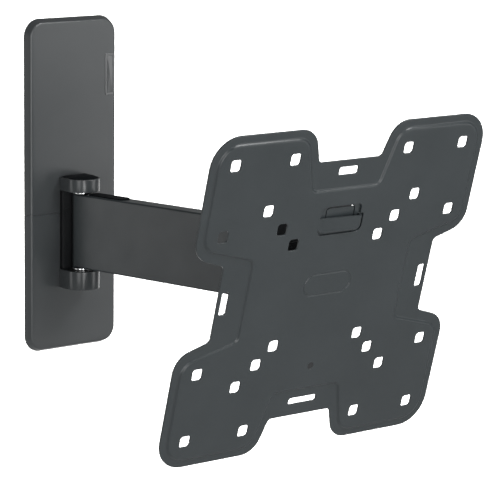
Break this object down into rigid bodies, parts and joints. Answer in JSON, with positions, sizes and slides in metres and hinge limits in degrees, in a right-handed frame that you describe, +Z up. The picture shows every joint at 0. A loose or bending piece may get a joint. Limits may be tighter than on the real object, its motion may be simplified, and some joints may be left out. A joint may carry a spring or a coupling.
{
  "type": "full motion tv wall mount",
  "caption": "Full motion wall mount for a flat television: wall bracket under slim covers, one folding arm, swivel head and a tilting stamped plate with square fixing holes.",
  "frame": {"origin": "middle of the wall bracket's back face, on the wall", "axes": "+X to the right for someone facing the wall, +Y into the wall, +Z up"},
  "size_m": [0.2405, 0.2808, 0.2834],
  "materials": {
    "coated_steel": "fine dark grey powder coat, satin",
    "black_steel": "black powder coat, satin",
    "cover_plastic": "dark grey moulded plastic, fine matte texture",
    "black_plastic": "black moulded plastic",
    "bush_nylon": "natural nylon",
    "bright_chrome": "polished chrome",
    "zinc_steel": "bright zinc plated"
  },
  "bodies": {
    "wall_base": {"wall_bracket": "black_steel", "hinge_bracket": "black_steel", "bracket_rivets": "black_steel", "upper_cover": "cover_plastic", "lower_cover": "cover_plastic", "cover_badge": "cover_plastic", "upper_nose_cap": "black_plastic", "lower_nose_cap": "black_plastic", "wall_hinge_bolt": "zinc_steel", "wall_hinge_nut": "zinc_steel", "wall_hinge_washers": "zinc_steel", "wall_hinge_rings": "bright_chrome"},
    "arm": {"arm_tube": "coated_steel", "wall_end_cap": "coated_steel", "tv_end_cap": "coated_steel", "wall_hinge_bushes": "bush_nylon", "wall_hinge_sleeve": "zinc_steel", "tv_hinge_bushes": "bush_nylon", "tv_hinge_sleeve": "zinc_steel", "arm_cable_clip": "black_plastic"},
    "swivel_head": {"head_bracket": "black_steel", "tv_hinge_bolt": "black_steel", "tv_hinge_nut": "zinc_steel", "tv_hinge_washers": "zinc_steel", "tv_hinge_rings": "bright_chrome", "tilt_knuckle": "black_steel", "knuckle_rivets": "black_steel", "tilt_bolt": "zinc_steel", "tilt_nut": "zinc_steel", "tilt_washers": "zinc_steel", "friction_discs": "bush_nylon", "tilt_spacer": "zinc_steel"},
    "tv_carrier": {"tilt_yoke": "coated_steel", "tv_plate": "coated_steel", "lock_screw": "black_steel"}
  },
  "joints": [
    {"name": "arm_swivel", "type": "hinge", "parent": "wall_base", "child": "arm", "pos_m": [0, -0.0175, -0.0325], "axis": [0, 0, 1], "range_deg": [-101.1, 78.9]},
    {"name": "head_swivel", "type": "hinge", "parent": "arm", "child": "swivel_head", "pos_m": [0.03698, -0.20601, -0.0325], "axis": [0, 0, 1], "range_deg": [-78.9, 101.1]},
    {"name": "tilt", "type": "hinge", "parent": "swivel_head", "child": "tv_carrier", "pos_m": [0.03698, -0.23131, -0.0325], "axis": [1, 0, 0], "range_deg": [-20, 0]}
  ]
}
